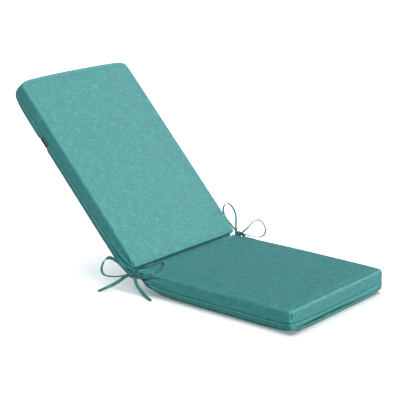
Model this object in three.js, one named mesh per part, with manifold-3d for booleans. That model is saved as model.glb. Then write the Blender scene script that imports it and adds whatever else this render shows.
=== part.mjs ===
// Hinged outdoor chair pad: a seat section and a taller back section that fold on one stitched line.
// Millimetres, +Z up. The origin is the centre of the seat's underside, +X points to the seat's front
// edge and +Y across the pad. Each section is a foam core in fibre wadding, inside a cover of two
// boxed panels that meet at a side seam, with a zip under a flap in its far end. Two pairs of tie
// straps leave the ends of the fold and are tied in bows, and an elastic strap crosses the back's rear.
import * as THREE from 'three';
import { mergeVertices } from 'three/addons/utils/BufferGeometryUtils.js';
import Module from 'manifold-3d';

// Driving dimensions
const WIDTH = 533;
const SEAT_LENGTH = 584; // from the fold to the front edge
const BACK_LENGTH = 750; // from the fold to the top edge
const THICKNESS = 76;
const RECLINE = THREE.MathUtils.degToRad(46); // the back above the floor plane
const SEAM_HEIGHT = 28; // side seam above the underside (on the back, from its rear face)

// Shape of a section
const EDGE_RADIUS = 10;
const CORNER_RADIUS = 14; // seen from above
const FOLD_UNDER_RADIUS = 32; // the soft lower edge beside the fold
const FOLD_SETBACK = 2.5; // each section's end stands this far back from the fold
const FOLD_RISE = 1; // fold axis above the top panels
const GAP = 0.3;
const COVER = 1.8;
const WADDING = 9;

// Zip, measured from the far end face and from the underside
const ZIP_HALF = 204; // half the chain, between its stops
const SLIT_HALF = 234; // half the slit that the flap covers
const ZIP_HEIGHT = 11;
const SLIT_LOW = 7.5;
const SLIT_HIGH = 14.5;
const TAPE = { front: 5.4, thick: 0.8, low: 4, split: 0.7, short: 6 };
const COIL = { front: 3.7, thick: 1.4, height: 2.2 };
const STOP = { long: 2.7, high: 6.4 };
const SLIDER = {
  long: 12, high: 7.2, corner: 3, plate: 1.1, front: 2.3, back: 6.5, bridge: 0.8, webInset: 2,
};
const BAIL = { inner: 1.15, wall: 0.9, wide: 2, bevel: 0.6, footShare: 0.8 };
const PULL = { long: 28, wide: 6, thick: 1.1, eye: 3.6, eyeWide: 2.8, root: 0.4, tip: 2.6 };
const SEAT_SLIDER_Y = -80;
const BACK_SLIDER_Y = -197;
const POCKET = { deep: 8.5, above: 3 }; // room for the zip in the stuffing
const WINDOW_DEEP = 5; // how far the slit's cutter reaches to either side of the end face

// Elastic strap across the back's rear, and the seam web in the fold
const STRAP = { centre: 534, wide: 36, thick: 1.2, sunk: 1.5, margin: 1.5 };
const WEB = { thick: 2.4, low: 34, high: 71, half: 262 };

// Tie straps, gathered to a plain round cord here
const TIE_RADIUS = 1.5;
const TIE_SIDES = 8;
const TIE_STEPS = 80;
const KNOT = { inner: 4.1, outer: 6.4, long: 6 };

const wasm = await Module();
wasm.setup();

// --- Solids -----------------------------------------------------------------------------------------

function toSolid(geometry) {
  const bare = geometry.clone();
  bare.deleteAttribute('normal');
  bare.deleteAttribute('uv');
  const merged = mergeVertices(bare, 1e-4);
  return new wasm.Manifold(new wasm.Mesh({
    numProp: 3,
    vertProperties: new Float32Array(merged.attributes.position.array),
    triVerts: new Uint32Array(merged.index.array),
  }));
}

function toGeometry(solid) {
  const { vertProperties, triVerts } = solid.getMesh();
  const geometry = new THREE.BufferGeometry();
  geometry.setAttribute('position', new THREE.BufferAttribute(new Float32Array(vertProperties), 3));
  geometry.setIndex(new THREE.BufferAttribute(new Uint32Array(triVerts), 1));
  geometry.computeVertexNormals();
  return geometry;
}

// A box given by its lowest and highest corners.
function boxBetween(low, high) {
  const size = high.map((value, axis) => value - low[axis]);
  const box = new THREE.BoxGeometry(...size);
  return box.translate(...low.map((value, axis) => value + size[axis] / 2));
}

function roundedShape(left, bottom, right, top, radii) {
  const [r0, r1, r2, r3] = radii; // corners counter-clockwise from left bottom
  const shape = new THREE.Shape();
  shape.moveTo(left + r0, bottom);
  shape.lineTo(right - r1, bottom);
  shape.absarc(right - r1, bottom + r1, r1, -Math.PI / 2, 0);
  shape.lineTo(right, top - r2);
  shape.absarc(right - r2, top - r2, r2, 0, Math.PI / 2);
  shape.lineTo(left + r3, top);
  shape.absarc(left + r3, top - r3, r3, Math.PI / 2, Math.PI);
  shape.lineTo(left, bottom + r0);
  shape.absarc(left + r0, bottom + r0, r0, Math.PI, Math.PI * 1.5);
  return shape;
}

// A section's body with every face moved in by inset. The fold end is at x = 0, the underside at z = 0.
function pad(length, inset) {
  const edge = Math.max(EDGE_RADIUS - inset, 3);
  const corner = Math.max(CORNER_RADIUS - inset, edge + 1) - edge;
  const [left, right] = [FOLD_SETBACK + inset, length - inset];
  const half = WIDTH / 2 - inset;
  const plan = roundedShape(left + edge, edge - half, right - edge, half - edge, Array(4).fill(corner));
  const slab = new THREE.ExtrudeGeometry(plan, {
    depth: THICKNESS - 2 * (inset + edge), bevelThickness: edge, bevelSize: edge, bevelSegments: 4,
    curveSegments: 4,
  });
  slab.translate(0, 0, inset + edge);
  // the side view, where the lower edge beside the fold is rounder than the others
  const under = FOLD_UNDER_RADIUS - inset;
  const side = roundedShape(left, inset, right + 1, THICKNESS - inset, [under, edge, edge, edge]);
  const profile = new THREE.ExtrudeGeometry(side, { depth: WIDTH, bevelEnabled: false, curveSegments: 6 });
  profile.rotateX(Math.PI / 2).translate(0, WIDTH / 2, 0);
  return toSolid(slab).intersect(toSolid(profile));
}

const shell = (length, outer, inner) => pad(length, outer).subtract(pad(length, inner));
const above = (length, z) => toSolid(boxBetween([-1, -WIDTH, z], [length + 1, WIDTH, THICKNESS + 1]));
const below = (length, z) => toSolid(boxBetween([-1, -WIDTH, -1], [length + 1, WIDTH, z]));

// --- Materials --------------------------------------------------------------------------------------

const tealFabric = { color: 0x4f9c99, roughness: 0.9, metalness: 0 };
const tealTape = { color: 0x3f8583, roughness: 0.85, metalness: 0 };
const elastic = { color: 0x2f4b46, roughness: 0.85, metalness: 0 };
const foam = { color: 0xe8dfb8, roughness: 0.95, metalness: 0 };
const wadding = { color: 0xf2f2ee, roughness: 1, metalness: 0 };
const coilNylon = { color: 0x3a8a86, roughness: 0.5, metalness: 0 };
const zipMetal = { color: 0x4b8f8b, roughness: 0.45, metalness: 0.6 };

function piece(name, shape, look) {
  const geometry = shape.isBufferGeometry ? shape : toGeometry(shape);
  const mesh = new THREE.Mesh(geometry, new THREE.MeshStandardMaterial(look));
  mesh.name = name;
  return mesh;
}

// --- Zip --------------------------------------------------------------------------------------------

// A bar across the far end: x is counted inwards from the end face.
function endBar(length, depths, heights, half) {
  return boxBetween([length - depths[1], -half, heights[0]], [length - depths[0], half, heights[1]]);
}

function zipSlider(length, y) {
  const { long, high, corner, plate, front, back, bridge, webInset } = SLIDER;
  const face = roundedShape(-long / 2, -high / 2, long / 2, high / 2, Array(4).fill(corner));
  const plates = [front, back].map((depth) => {
    const slab = new THREE.ExtrudeGeometry(face, { depth: plate, bevelEnabled: false, curveSegments: 4 });
    // the plate's outline lies across (y) and up (z), its thickness goes inwards (-x)
    slab.rotateX(Math.PI / 2).rotateZ(Math.PI / 2);
    return slab.translate(length - depth - plate, y, ZIP_HEIGHT);
  });
  const web = boxBetween(
    [length - back - plate / 2, y - long / 2 + webInset, ZIP_HEIGHT - bridge / 2],
    [length - front - plate / 2, y + long / 2 - webInset, ZIP_HEIGHT + bridge / 2],
  );
  // the bail is an arch over the pull's bar, standing on the front plate
  const outer = BAIL.inner + BAIL.wall;
  const foot = -(PULL.thick + GAP) * BAIL.footShare;
  const arch = new THREE.Shape();
  arch.moveTo(-outer, foot);
  arch.lineTo(-BAIL.inner, foot);
  arch.lineTo(-BAIL.inner, BAIL.inner);
  arch.lineTo(BAIL.inner, BAIL.inner);
  arch.lineTo(BAIL.inner, foot);
  arch.lineTo(outer, foot);
  arch.lineTo(outer, outer - BAIL.bevel);
  arch.lineTo(outer - BAIL.bevel, outer);
  arch.lineTo(BAIL.bevel - outer, outer);
  arch.lineTo(-outer, outer - BAIL.bevel);
  const bail = new THREE.ExtrudeGeometry(arch, { depth: BAIL.wide, bevelEnabled: false });
  // drawn with its height along +y: turned so that the height goes out (+x) and the width across (y)
  bail.translate(0, 0, -BAIL.wide / 2).rotateZ(-Math.PI / 2);
  bail.translate(length - pullDepth(), y, ZIP_HEIGHT);
  const [first, ...rest] = [...plates, web, bail].map(toSolid);
  return rest.reduce((sum, solid) => sum.add(solid), first);
}

// How far the pull's axis lies inside the end face.
function pullDepth() {
  return SLIDER.front - GAP - PULL.thick * Math.SQRT1_2;
}

function zipPull(length, y) {
  const { long, wide, thick, eye, eyeWide, root, tip } = PULL;
  const bar = thick / 2;
  const tab = roundedShape(-bar, -wide / 2, long, wide / 2, [root, tip, tip, root]);
  const hole = new THREE.Path();
  hole.moveTo(bar, -eyeWide / 2);
  hole.lineTo(bar, eyeWide / 2);
  hole.lineTo(eye, eyeWide / 2);
  hole.lineTo(eye, -eyeWide / 2);
  tab.holes.push(hole);
  const plate = new THREE.ExtrudeGeometry(tab, { depth: thick, bevelEnabled: false, curveSegments: 4 });
  // the tab lies across the pad (+y) with its width up (z)
  plate.translate(0, 0, -thick / 2).rotateX(Math.PI / 2).rotateZ(Math.PI / 2);
  return plate.translate(length - pullDepth(), y, ZIP_HEIGHT);
}

function zip(prefix, length, sliderY) {
  const group = new THREE.Group();
  const tapeDepths = [TAPE.front, TAPE.front + TAPE.thick];
  const tapeHalf = SLIT_HALF - TAPE.short;
  const coilDepths = [COIL.front, COIL.front + COIL.thick];
  const upper = [ZIP_HEIGHT + TAPE.split, SEAM_HEIGHT];
  const lower = [TAPE.low, ZIP_HEIGHT - TAPE.split];
  const coilUpper = [upper[0], upper[0] + COIL.height];
  const coilLower = [lower[1] - COIL.height, lower[1]];
  group.add(piece(`${prefix}_zip_tape_upper`, endBar(length, tapeDepths, upper, tapeHalf), tealTape));
  group.add(piece(`${prefix}_zip_tape_lower`, endBar(length, tapeDepths, lower, tapeHalf), tealTape));
  group.add(piece(`${prefix}_zip_coil_upper`, endBar(length, coilDepths, coilUpper, ZIP_HALF), coilNylon));
  group.add(piece(`${prefix}_zip_coil_lower`, endBar(length, coilDepths, coilLower, ZIP_HALF), coilNylon));
  for (const [end, side] of [['left', -1], ['right', 1]]) {
    const stop = boxBetween(
      [length - coilDepths[1], -STOP.long / 2, ZIP_HEIGHT - STOP.high / 2],
      [length - COIL.front + GAP, STOP.long / 2, ZIP_HEIGHT + STOP.high / 2],
    );
    stop.translate(0, side * (ZIP_HALF + GAP + STOP.long / 2), 0);
    group.add(piece(`${prefix}_zip_stop_${end}`, stop, zipMetal));
  }
  group.add(piece(`${prefix}_zip_slider`, zipSlider(length, sliderY), zipMetal));
  group.add(piece(`${prefix}_zip_pull`, zipPull(length, sliderY), zipMetal));
  return group;
}

// --- Sections ---------------------------------------------------------------------------------------

// A section lies flat with its fold end at x = 0, its far end at x = length and its underside at z = 0.
function section(prefix, length, sliderY, names, strap) {
  const group = new THREE.Group();
  const window = toSolid(boxBetween(
    [length - WINDOW_DEEP, -SLIT_HALF, SLIT_LOW], [length + WINDOW_DEEP, SLIT_HALF, SEAM_HEIGHT],
  ));
  const pocket = toSolid(boxBetween(
    [length - POCKET.deep, -SLIT_HALF, 0], [length + WINDOW_DEEP, SLIT_HALF, SEAM_HEIGHT + POCKET.above],
  ));

  group.add(piece(`${prefix}_cover_${names.top}`,
    shell(length, 0, COVER).intersect(above(length, SEAM_HEIGHT)), tealFabric));

  let lowerCover = shell(length, 0, COVER).intersect(below(length, SEAM_HEIGHT - GAP)).subtract(window);
  let dip = null;
  if (strap) {
    // the cover sinks under the strap, which lies flush in the channel
    const [low, high] = [strap.centre - strap.wide / 2, strap.centre + strap.wide / 2];
    const band = (grow) => toSolid(boxBetween(
      [low - grow, -WIDTH, -1], [high + grow, WIDTH, SEAM_HEIGHT - GAP],
    ));
    const sunk = shell(length, strap.sunk, strap.sunk + COVER).intersect(band(strap.margin));
    lowerCover = lowerCover.subtract(band(GAP)).add(sunk);
    dip = shell(length, 0, strap.sunk + COVER + GAP).intersect(band(strap.margin + GAP));
    group.add(piece('back_strap', shell(length, 0, strap.thick).intersect(band(0)), elastic));
  }
  group.add(piece(`${prefix}_cover_${names.under}`, lowerCover, tealFabric));

  const flap = endBar(length, [0, COVER], [SLIT_HIGH, SEAM_HEIGHT - GAP], SLIT_HALF - GAP);
  group.add(piece(`${prefix}_zip_flap`, flap, tealFabric));

  const outer = COVER + GAP;
  const inner = outer + WADDING;
  const middle = THICKNESS / 2;
  const layer = shell(length, outer, inner).subtract(pocket);
  group.add(piece(`${prefix}_wadding_${names.top}`, layer.intersect(above(length, middle + GAP)), wadding));
  let lowerLayer = layer.intersect(below(length, middle));
  if (dip) lowerLayer = lowerLayer.subtract(dip);
  group.add(piece(`${prefix}_wadding_${names.under}`, lowerLayer, wadding));
  group.add(piece(`${prefix}_foam_core`, pad(length, inner + GAP), foam));

  group.add(zip(prefix, length, sliderY));
  return group;
}

// --- Tie straps -------------------------------------------------------------------------------------

// Each route starts at the end of the fold's seam, makes one loop of the bow, goes back through the
// knot and ends in its tail. The points are millimetres in the pad's own frame.
const leftKnot = [-306, -280, 57];
const rightKnot = [-291, 280, 72];
const tieRoutes = {
  tie_left_back: [
    [-292, -264, 58], [-292.5, -268.5, 58.5], [-297, -270.4, 58.5], [-306, -270.6, 58],
    [-314, -273, 58], [-324, -277, 60.5], [-338, -279, 70], [-353, -280, 81], [-374, -281, 92],
    [-397, -281, 96], [-417, -281, 88], [-430, -281, 68], [-434, -281, 46], [-426, -281, 34],
    [-400, -280, 33], [-370, -280, 39], [-342, -280, 48], [-322, -280, 53.5], [-312, -280, 55],
    [-306, -280, 55], [-300.5, -280, 54.3], [-295, -280.5, 47], [-287, -281, 32],
    [-268, -283, 15], [-246, -290, 7], [-209, -306, 2.6],
  ],
  tie_left_seat: [
    [-292, -264, 50], [-291.5, -269, 50], [-294, -272.5, 52], [-297.5, -274.5, 57],
    [-298, -274, 64], [-295, -270.5, 72], [-291.5, -263, 78.6], [-290, -250, 78.4],
    [-289, -225, 78.3], [-287, -200, 78.3], [-281, -182, 78.3], [-270, -175, 78.3],
    [-258, -180, 78.3], [-247, -198, 78.3], [-238, -220, 78.3], [-232, -240, 78.4],
    [-230, -254, 78.8], [-230.5, -265, 78], [-234, -271, 72], [-242, -273, 65], [-256, -274.5, 60],
    [-272, -276.5, 58.5], [-287, -279, 58.8], [-300, -280, 59], [-306, -280, 59], [-313, -280.6, 59.3],
    [-322, -283.5, 55], [-333, -286.5, 46.5], [-347, -292, 34], [-369, -307, 16],
    [-381, -326, 8], [-390, -348, 2.6],
  ],
  tie_right_back: [
    [-292, 264, 61], [-292.5, 268.5, 61.5], [-296, 270.8, 64], [-299, 273, 70], [-301.5, 275, 79],
    [-303.5, 276.5, 90], [-305, 277, 106], [-305, 277, 124], [-309, 277, 142], [-319, 277, 158],
    [-333, 277, 169], [-346, 277, 171], [-356, 277, 163], [-361, 277, 146], [-357, 278, 128],
    [-345, 279, 112], [-328, 280, 97], [-312, 280, 84], [-302, 280, 77], [-296, 280, 74.3],
    [-291, 280, 74], [-285.5, 280.9, 73.8], [-280, 284.5, 71], [-276, 288, 62], [-271, 291, 46],
    [-264, 295, 28], [-254, 301, 12], [-240, 309, 4], [-222, 317, 2.6],
  ],
  tie_right_seat: [
    [-292, 264, 54], [-291.5, 268.5, 54], [-288, 270.8, 56], [-284, 272.5, 62], [-281, 274.5, 70],
    [-276, 276, 79], [-267, 277, 88], [-255, 277, 100], [-238, 277, 121], [-221, 277, 135],
    [-203, 277, 137], [-189, 277, 127], [-181, 277, 110], [-183, 277, 94], [-196, 277, 82],
    [-215, 277.5, 76], [-236, 278.5, 74], [-256, 279.5, 73.5], [-272, 280, 72.2], [-284, 280, 70.3],
    [-291, 280, 70], [-297, 280.4, 69], [-303, 281.5, 62], [-309, 284, 48], [-316, 288, 30],
    [-326, 294, 13], [-340, 301, 4], [-358, 306, 2.6],
  ],
};

function cord(points) {
  const places = points.map((point) => new THREE.Vector3(...point));
  const curve = new THREE.CatmullRomCurve3(places, false, 'centripetal');
  const ring = new THREE.Shape();
  for (let side = 0; side < TIE_SIDES; side += 1) {
    const turn = (side / TIE_SIDES) * Math.PI * 2;
    const corner = [TIE_RADIUS * Math.cos(turn), TIE_RADIUS * Math.sin(turn)];
    if (side === 0) ring.moveTo(...corner);
    else ring.lineTo(...corner);
  }
  return new THREE.ExtrudeGeometry(ring, { steps: TIE_STEPS, extrudePath: curve });
}

// The turn of strap round the middle of a bow: a short sleeve lying along x.
function knot(centre) {
  const { inner, outer, long } = KNOT;
  const half = long / 2;
  const ring = [[inner, -half], [outer - 1, -half], [outer, 1 - half], [outer, half - 1],
    [outer - 1, half], [inner, half], [inner, -half]];
  const sleeve = new THREE.LatheGeometry(ring.map((p) => new THREE.Vector2(...p)), 20);
  return sleeve.rotateZ(Math.PI / 2).translate(...centre);
}

// --- Assembly ---------------------------------------------------------------------------------------

const part = new THREE.Group();
const foldX = -SEAT_LENGTH / 2;
const foldZ = THICKNESS + FOLD_RISE;

const seat = section('seat', SEAT_LENGTH, SEAT_SLIDER_Y, { top: 'top', under: 'bottom' }, null);
seat.position.x = foldX;
part.add(seat);

// The back is a section turned end for end, hung from the fold axis and raised by the recline.
const back = section('back', BACK_LENGTH, BACK_SLIDER_Y, { top: 'front', under: 'rear' }, STRAP);
back.rotation.z = Math.PI;
back.position.z = -foldZ;
const raised = new THREE.Group();
raised.rotation.y = RECLINE;
raised.position.set(foldX, 0, foldZ);
raised.add(back);
part.add(raised);

const web = boxBetween(
  [foldX - WEB.thick / 2, -WEB.half, WEB.low], [foldX + WEB.thick / 2, WEB.half, WEB.high],
);
part.add(piece('fold_web', web, tealFabric));

for (const [name, route] of Object.entries(tieRoutes)) part.add(piece(name, cord(route), tealFabric));
part.add(piece('bow_knot_left', knot(leftKnot), tealFabric));
part.add(piece('bow_knot_right', knot(rightKnot), tealFabric));

export default part;
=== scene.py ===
# %% [markdown]
# # A hinged chair pad in teal slubbed fabric
#
# This outdoor chair pad has two foam sections, a seat and a taller back, which fold on one stitched
# line. This lesson gives them their real surfaces: cloth covers, tie straps, zips, stuffing and an
# elastic strap.

# %% Start
import math
import bpy
import numpy as np
from mathutils import Matrix, Vector


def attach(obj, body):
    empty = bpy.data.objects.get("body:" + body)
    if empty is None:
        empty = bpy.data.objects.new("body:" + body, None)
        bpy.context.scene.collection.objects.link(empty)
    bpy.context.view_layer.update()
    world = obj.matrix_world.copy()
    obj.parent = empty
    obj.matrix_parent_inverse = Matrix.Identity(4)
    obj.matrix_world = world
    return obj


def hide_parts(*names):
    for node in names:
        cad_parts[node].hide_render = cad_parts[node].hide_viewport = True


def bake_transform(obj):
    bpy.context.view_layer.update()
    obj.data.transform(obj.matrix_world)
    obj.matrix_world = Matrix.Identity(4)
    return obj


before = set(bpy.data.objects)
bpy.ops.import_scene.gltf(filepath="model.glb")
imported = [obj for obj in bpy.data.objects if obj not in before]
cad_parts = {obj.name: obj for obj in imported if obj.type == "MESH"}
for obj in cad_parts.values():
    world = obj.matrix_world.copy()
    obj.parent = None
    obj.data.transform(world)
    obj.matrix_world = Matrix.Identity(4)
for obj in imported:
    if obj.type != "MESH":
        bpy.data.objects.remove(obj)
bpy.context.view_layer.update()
scene = bpy.context.scene

# %% [markdown]
# ## Measures
# Everything is worked out in millimetres in a section's own frame: x runs from the fold to the far
# end, y goes across, and z rises from the underside to the face that is sat on. One function then
# turns those numbers into metres in the scene. It is easier than modelling the back already tilted,
# because both sections can share every formula.

# %% Measures and frames
MM = 0.001  # metres in a millimetre
LENGTH = {"seat": 584.0, "back": 750.0}
HALF = 266.5  # half the width
THICK = 76.0
SEAM = 28.0  # height of the side seam
START = 2.5  # a section begins this far from the fold line
FOLD_X, FOLD_Z = -292.0, 77.0
RECLINE = math.radians(46)
SLIT_HALF = 234.0  # half the length of the zip's slit
SLIT = (7.5, 14.5)  # heights of the slit's two edges
ROUND = 12.0  # radius of the pad's edges


def place(points, section):
    """Section millimetres to scene metres. The back is turned end for end about z, hung from the fold
    line and raised by the recline angle."""
    x, y, z = np.moveaxis(points, -1, 0)
    if section == "seat":
        return np.stack([x + FOLD_X, y, z], axis=-1) * MM
    c, s = math.cos(RECLINE), math.sin(RECLINE)
    deep = z - FOLD_Z
    return np.stack([FOLD_X - x * c + deep * s, -y, FOLD_Z + x * s + deep * c], axis=-1) * MM


def ease(value, start, end):
    """0 before start and 1 after end, with the smooth step 3t^2 - 2t^3 between them."""
    t = np.clip((value - start) / (end - start), 0, 1)
    return t * t * (3 - 2 * t)


def waver(s, pitch, seed):
    """An uneven ripple between about -1 and 1: three sines whose pitches don't divide one another."""
    turn = 2 * np.pi * s / pitch
    return (np.sin(turn + seed) + 0.7 * np.sin(turn * 0.618 + 2.1 * seed)
            + 0.5 * np.sin(turn * 1.71 + 3.7 * seed)) / 2.2


def unit(vectors):
    """Each vector divided by its own length."""
    return vectors / np.linalg.norm(vectors, axis=-1, keepdims=True)


def way_along(line):
    """How far along a line of points each one is."""
    return np.concatenate([[0], np.cumsum(np.linalg.norm(np.diff(line, axis=0), axis=1))])


def read_at(at, mark, values):
    """Points or directions known at the marks, read at the places between them."""
    return np.stack([np.interp(at, mark, values[:, k]) for k in range(3)], axis=1)


print("fold end of the back", place(np.array([START, 0, THICK]), "back").round(4))

# %% [markdown]
# ## Mesh and node helpers
# Every piece is computed as whole arrays, so one function can turn points, faces and cloth
# coordinates into a finished object. A second one numbers the faces of a grid. A third adds a shader
# node with its settings and links, which keeps the materials short enough to read. The small ones
# all come from one texture each, so they share a function.

# %% Mesh helpers
def make_piece(name, points, faces, cloth, material, body):
    """Puts points in metres and lists of corner numbers into a mesh. cloth holds one flat (u, v) place
    in metres for each face corner, in the order of the corners."""
    mesh = bpy.data.meshes.new(name)
    mesh.from_pydata(np.asarray(points).reshape(-1, 3).tolist(), [], faces)
    layer = mesh.uv_layers.new(name="cloth")
    layer.uv.foreach_set("vector", np.asarray(cloth, np.float32).ravel())
    mesh.shade_smooth()
    mesh.materials.append(material)
    obj = bpy.data.objects.new(name, mesh)
    scene.collection.objects.link(obj)
    if body:
        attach(obj, body)
    return obj


def grid_corners(rows, columns):
    """Row and column of the four corners of every face of a grid of points."""
    i, j = np.meshgrid(np.arange(rows - 1), np.arange(columns - 1), indexing="ij")
    row = np.stack([i, i + 1, i + 1, i], axis=-1).reshape(-1, 4)
    column = np.stack([j, j, j + 1, j + 1], axis=-1).reshape(-1, 4)
    return row, column


def tube(name, rings, along, around, material, body):
    """A closed skin through rings of points: ring i, point j joins to its neighbours, the last point of
    a ring joins to its first, and one flat face closes each end."""
    rows, count = rings.shape[:2]
    row, column = (corner[:, ::-1] for corner in grid_corners(rows, count + 1))
    faces = (row * count + column % count).tolist()
    cloth = np.stack([along[row], around[column]], axis=-1).reshape(-1, 2)
    ends = [list(range(count - 1, -1, -1)), list(range((rows - 1) * count, rows * count))]
    rest = np.stack([np.full(2 * count, along[0]), np.tile(around[:count], 2)], axis=-1)
    return make_piece(name, rings, faces + ends, np.concatenate([cloth, rest]), material, body)


def thicken(obj, thick):
    """Gives an open skin its wall, inwards from the modelled face."""
    wall = obj.modifiers.new("wall", "SOLIDIFY")
    wall.thickness, wall.offset = thick * MM, -1


print("mesh helpers ready")

# %% Material helpers
def linear(code):
    """An sRGB hex colour as the linear numbers that a shader takes."""
    part = np.array([int(code[i:i + 2], 16) for i in (1, 3, 5)]) / 255
    light = np.where(part <= 0.04045, part / 12.92, ((part + 0.055) / 1.055) ** 2.4)
    return (*light.tolist(), 1.0)


def add(tree, kind, settings=(), links=()):
    """Adds a node. Each setting is a property of the node or the value of one of its sockets, and each
    link joins another node's output to one of its sockets."""
    node = tree.nodes.new(kind)
    for key, value in dict(settings).items():
        if isinstance(key, str) and hasattr(node, key):
            setattr(node, key, value)
        else:
            node.inputs[key].default_value = value
    for key, socket in dict(links).items():
        tree.links.new(socket, node.inputs[key])
    return node


def new_material(name):
    """An empty node material and its tree."""
    material = bpy.data.materials.new(name)
    material.use_nodes = True
    material.node_tree.nodes.clear()
    return material, material.node_tree


def two_tone(name, kind, settings, value, space, tones, surface, relief=None):
    """A material from one texture node: its value mixes two tones, and drives a fine height too where
    relief gives a strength and a distance."""
    material, tree = new_material(name)
    coords = add(tree, "ShaderNodeTexCoord")
    texture = add(tree, kind, settings, {"Vector": coords.outputs[space]})
    tone = add(tree, "ShaderNodeMix", {"data_type": "RGBA", 6: linear(tones[0]), 7: linear(tones[1])},
               {0: texture.outputs[value]})
    links = {"Base Color": tone.outputs[2]}
    if relief:
        bump = add(tree, "ShaderNodeBump", {"Strength": relief[0], "Distance": relief[1]},
                   {"Height": texture.outputs[value]})
        links["Normal"] = bump.outputs["Normal"]
    shader = add(tree, "ShaderNodeBsdfPrincipled", surface, links)
    add(tree, "ShaderNodeOutputMaterial", {}, {"Surface": shader.outputs[0]})
    return material


print("sRGB #808080 is linear", round(linear("#808080")[0], 3))

# %% [markdown]
# ## Camera, light and floor
# A long lens from far away keeps the pad's edges almost parallel. The key is one broad lamp in front
# and to the right, with a faint even fill. A second lamp adds only a shine, which makes the back's
# face paler, and a weak one lights the rear. They are sun lamps with a wide angle, because those
# light a big floor evenly. The floor has two lamps of its own, and light linking keeps the others
# off it. One of the two casts no shadow, so the pad's shadow on the floor is soft and pale.

# %% Camera
camera = bpy.data.objects.new("camera", bpy.data.cameras.new("camera"))
look = Vector((-0.57522, 0.77171, -0.27127)).normalized()
over = Vector((-0.18583, 0.19967, 0.96208)).normalized()
side = look.cross(over).normalized()
turn = Matrix((side, over, -look)).transposed().to_4x4()
camera.matrix_world = Matrix.Translation((2.4552, -3.6377, 1.5360)) @ turn
camera.data.lens = 129.93
camera.data.sensor_width = 36
camera.data.clip_end = 100
scene.collection.objects.link(camera)
scene.camera = camera
scene.view_settings.view_transform = "Standard"
print("camera", [round(v, 3) for v in camera.location], "lens", camera.data.lens)

# %% Lights
def sun(name, strength, spread, toward):
    """A sun lamp given by the direction that it comes from."""
    lamp = bpy.data.objects.new(name, bpy.data.lights.new(name, "SUN"))
    lamp.data.energy, lamp.data.angle = strength, math.radians(spread)
    lamp.rotation_euler = Vector(toward).to_track_quat("Z", "Y").to_euler()
    scene.collection.objects.link(lamp)
    return lamp


key = sun("key", 4.7, 30, (0.71, -0.38, 0.59))
key.data.color = (1.04, 1.0, 0.98)
shine = sun("shine", 1.9, 40, (0.29, 0.77, 0.56))
shine.visible_diffuse = False
rim = sun("rim", 1.0, 60, (-0.8, 0.3, 0.1))
rim.data.color = (0.4, 1.0, 1.0)
sweep = sun("sweep", 4.6, 70, (-0.5, 0.42, 1))
lift = sun("lift", 1.6, 70, (0, 0, 1))
lift.data.use_shadow = False

# The world is white where the camera sees it and a dim blue-green where it lights the pad.
world = bpy.data.worlds.new("fill")
world.use_nodes = True
tree = world.node_tree
tree.nodes.clear()
dim = add(tree, "ShaderNodeBackground", {"Color": (0.45, 1, 1, 1), "Strength": 0.15})
white = add(tree, "ShaderNodeBackground", {"Color": (1, 1, 1, 1), "Strength": 1.0})
ray = add(tree, "ShaderNodeLightPath")
seen = add(tree, "ShaderNodeMixShader", {}, {0: ray.outputs["Is Camera Ray"], 1: dim.outputs[0],
                                             2: white.outputs[0]})
add(tree, "ShaderNodeOutputWorld", {}, {"Surface": seen.outputs[0]})
scene.world = world
print("key lamp", key.data.energy, "floor lamp", sweep.data.energy)

# %% Floor
# Rolled matt paint: no reflection of the pad, and a grain too fine to see.
floor_paint, tree = new_material("matt_white_paint")
coords = add(tree, "ShaderNodeTexCoord")
grain = add(tree, "ShaderNodeTexNoise", {"Scale": 900.0}, {"Vector": coords.outputs["Object"]})
bump = add(tree, "ShaderNodeBump", {"Strength": 0.02}, {"Height": grain.outputs["Fac"]})
paint = add(tree, "ShaderNodeBsdfPrincipled", {"Base Color": linear("#f4f4f4"), "Roughness": 0.9},
            {"Normal": bump.outputs["Normal"]})
add(tree, "ShaderNodeOutputMaterial", {}, {"Surface": paint.outputs[0]})

corners = [[x, y, -0.0006] for y in (-15, 15) for x in (-15, 15)]
floor = make_piece("floor", corners, [[0, 1, 3, 2]], np.zeros((4, 2)), floor_paint, None)
floor.visible_diffuse = False

for lamp, state in {key: "EXCLUDE", shine: "EXCLUDE", rim: "EXCLUDE", sweep: "INCLUDE",
                    lift: "INCLUDE"}.items():
    lit = bpy.data.collections.new(lamp.name + "_lit")
    lit.objects.link(floor)
    lit.collection_objects[0].light_linking.link_state = state
    lamp.light_linking.receiver_collection = lit
print("floor", [round(v, 1) for v in floor.dimensions])

# %% [markdown]
# ## Slubbed polyester
# The cover is a plain weave of spun-look polyester. Here and there a yarn is thicker, which makes
# the short pale streaks called slubs, both along and across the cloth. The yarns are about half a
# millimetre apart and too fine to show, so the weave is drawn at 1.6 mm. The pattern reads the
# cloth's own flat coordinates, so that it follows each panel round its edges.

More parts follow.
